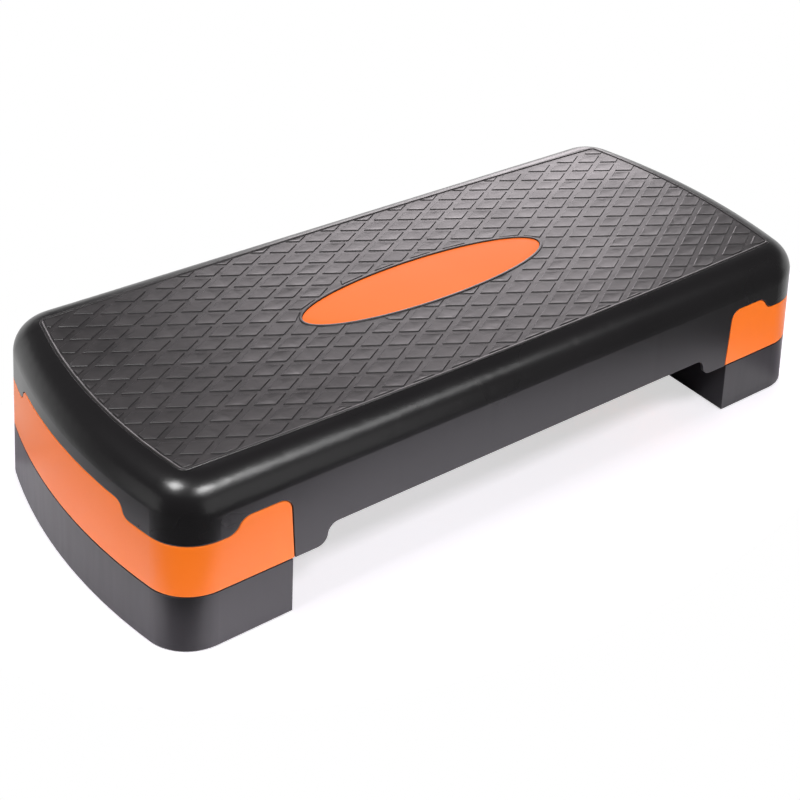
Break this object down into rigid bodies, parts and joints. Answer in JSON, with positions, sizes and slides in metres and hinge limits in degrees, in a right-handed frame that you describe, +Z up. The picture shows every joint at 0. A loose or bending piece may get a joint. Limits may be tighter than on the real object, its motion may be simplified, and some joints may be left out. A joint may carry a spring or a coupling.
{
  "type": "aerobic step platform",
  "caption": "Aerobic step: crowned black deck with a lozenge tread mat and oval badge, on orange and black riser tiers that pull off to change the height.",
  "frame": {"origin": "middle of the step's footprint, on the floor", "axes": "+X along the length, +Y to the back long side, +Z up"},
  "size_m": [0.6798, 0.293, 0.137],
  "materials": {
    "deck_black": "satin moulded polypropylene",
    "tread_grey": "matt thermoplastic rubber",
    "accent_orange": "satin moulded polypropylene",
    "riser_black": "satin moulded polypropylene",
    "foot_rubber": "matt"
  },
  "bodies": {
    "platform": {"deck_shell": "deck_black", "tread_mat": "tread_grey", "oval_badge": "accent_orange"},
    "left_upper_tier": {"left_upper_riser": "accent_orange"},
    "right_upper_tier": {"right_upper_riser": "accent_orange"},
    "left_base_tier": {"left_base_riser": "riser_black", "left_foot_front_inner": "foot_rubber", "left_foot_front_outer": "foot_rubber", "left_foot_back_inner": "foot_rubber", "left_foot_back_outer": "foot_rubber"},
    "right_base_tier": {"right_base_riser": "riser_black", "right_foot_front_inner": "foot_rubber", "right_foot_front_outer": "foot_rubber", "right_foot_back_inner": "foot_rubber", "right_foot_back_outer": "foot_rubber"}
  },
  "joints": [
    {"name": "left_upper_pull", "type": "slide", "parent": "platform", "child": "left_upper_tier", "axis": [0, 0, -1], "range_m": [0, 0.07]},
    {"name": "left_base_pull", "type": "slide", "parent": "left_upper_tier", "child": "left_base_tier", "axis": [0, 0, -1], "range_m": [0, 0.05]},
    {"name": "right_upper_pull", "type": "slide", "parent": "platform", "child": "right_upper_tier", "axis": [0, 0, -1], "range_m": [0, 0.07]},
    {"name": "right_base_pull", "type": "slide", "parent": "right_upper_tier", "child": "right_base_tier", "axis": [0, 0, -1], "range_m": [0, 0.05]}
  ]
}
